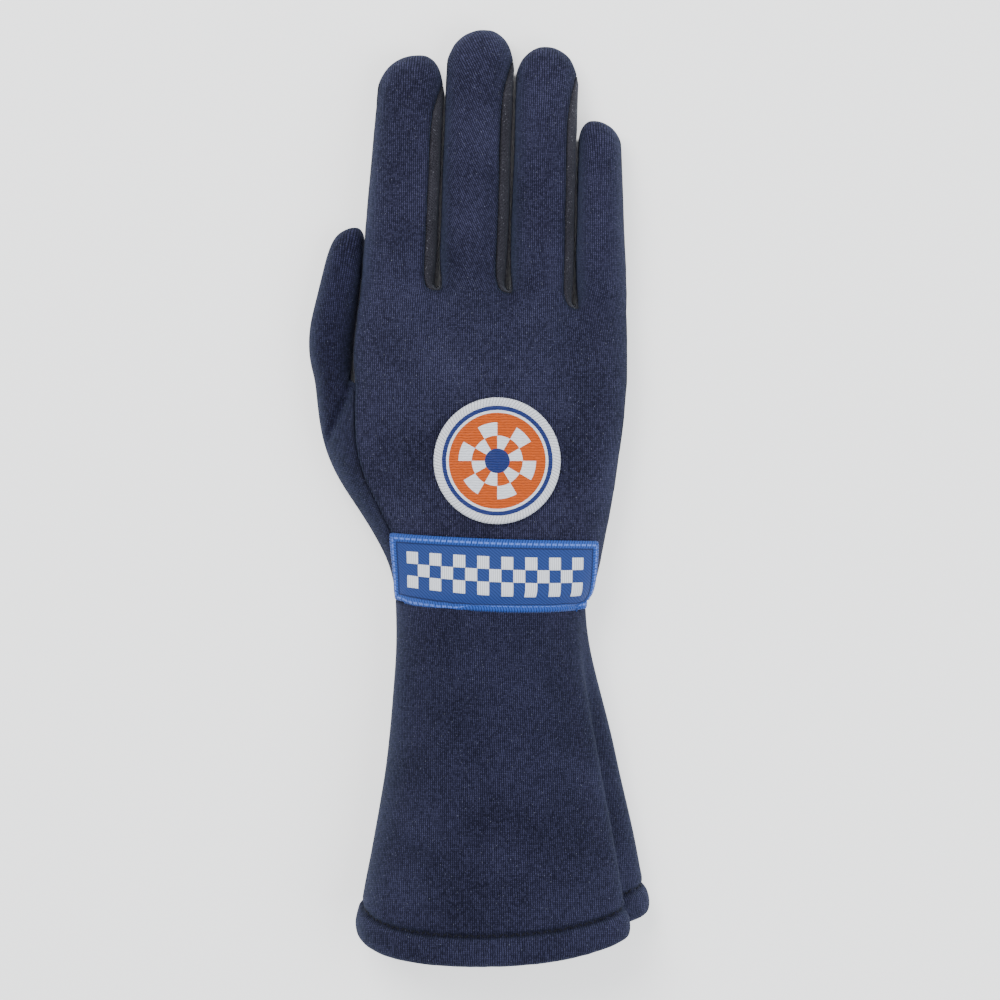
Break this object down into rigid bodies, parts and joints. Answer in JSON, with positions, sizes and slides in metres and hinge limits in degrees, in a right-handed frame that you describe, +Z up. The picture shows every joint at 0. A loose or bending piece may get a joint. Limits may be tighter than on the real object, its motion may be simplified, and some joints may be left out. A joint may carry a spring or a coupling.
{
  "type": "racing glove",
  "caption": "Right-hand knitted racing glove with a long flared gauntlet cuff, dark finger strips and two embroidered patches, lying palm down.",
  "frame": {"origin": "middle of the glove's outline seen from above, on the surface that the glove lies on", "axes": "+Y from the cuff to the fingertips, +Z up through the back of the hand, thumb on the -X side"},
  "size_m": [0.1202, 0.326, 0.0426],
  "materials": {
    "navy_knit": "ribbed melange knit, matt",
    "cuff_knit": "ribbed melange knit, matt",
    "dark_suede": "suede-like twill, matt",
    "orange_embroidery": "satin stitch in orange, white and blue",
    "royal_twill": "twill with a stitched border"
  },
  "bodies": {
    "root": {"back_panel": "navy_knit", "palm_panel": "dark_suede", "fourchette_index_middle": "dark_suede", "fourchette_middle_ring": "dark_suede", "fourchette_ring_little": "dark_suede", "thumb_back": "navy_knit", "cuff": "cuff_knit", "round_patch": "orange_embroidery", "bar_patch": "royal_twill"}
  },
  "joints": []
}
